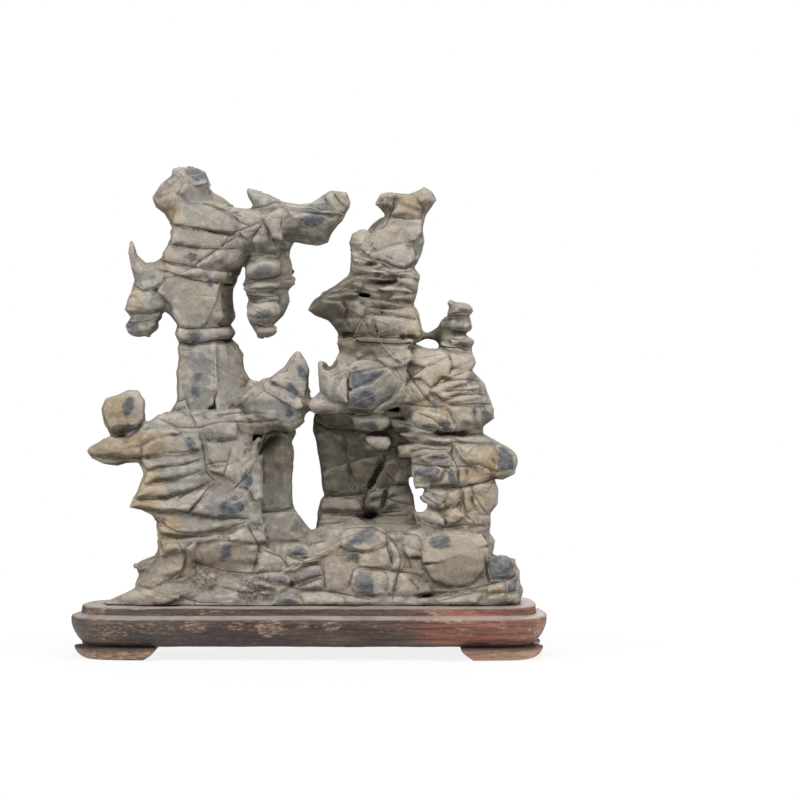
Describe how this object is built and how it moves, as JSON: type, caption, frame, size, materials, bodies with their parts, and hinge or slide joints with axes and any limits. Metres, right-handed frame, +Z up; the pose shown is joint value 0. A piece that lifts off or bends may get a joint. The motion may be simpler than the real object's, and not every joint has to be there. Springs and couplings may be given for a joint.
{
  "type": "scholars rock",
  "caption": "Upright pierced scholars rock of layered grey-buff stone, standing in the socket of a carved dark wooden tray on low bracket feet.",
  "frame": {"origin": "middle of the box around the whole object, on the surface that the stand's feet rest on", "axes": "+Z up; the front of the rock faces -Y; +X runs along the stand to the right as seen from the front"},
  "size_m": [0.1169, 0.0525, 0.1208],
  "materials": {
    "stone": "matte buff grey limestone with slate blue patches, tan stains and pale veins",
    "stand_wood": "dark purple-brown stained wood, worn and dusty",
    "foot_wood": "dark red-brown stained wood, worn to tan at the edges"
  },
  "bodies": {
    "root": {"stone": "stone", "stand": "stand_wood", "foot_front_left": "foot_wood", "foot_front_right": "foot_wood", "foot_back_left": "foot_wood", "foot_back_right": "foot_wood"}
  },
  "joints": []
}
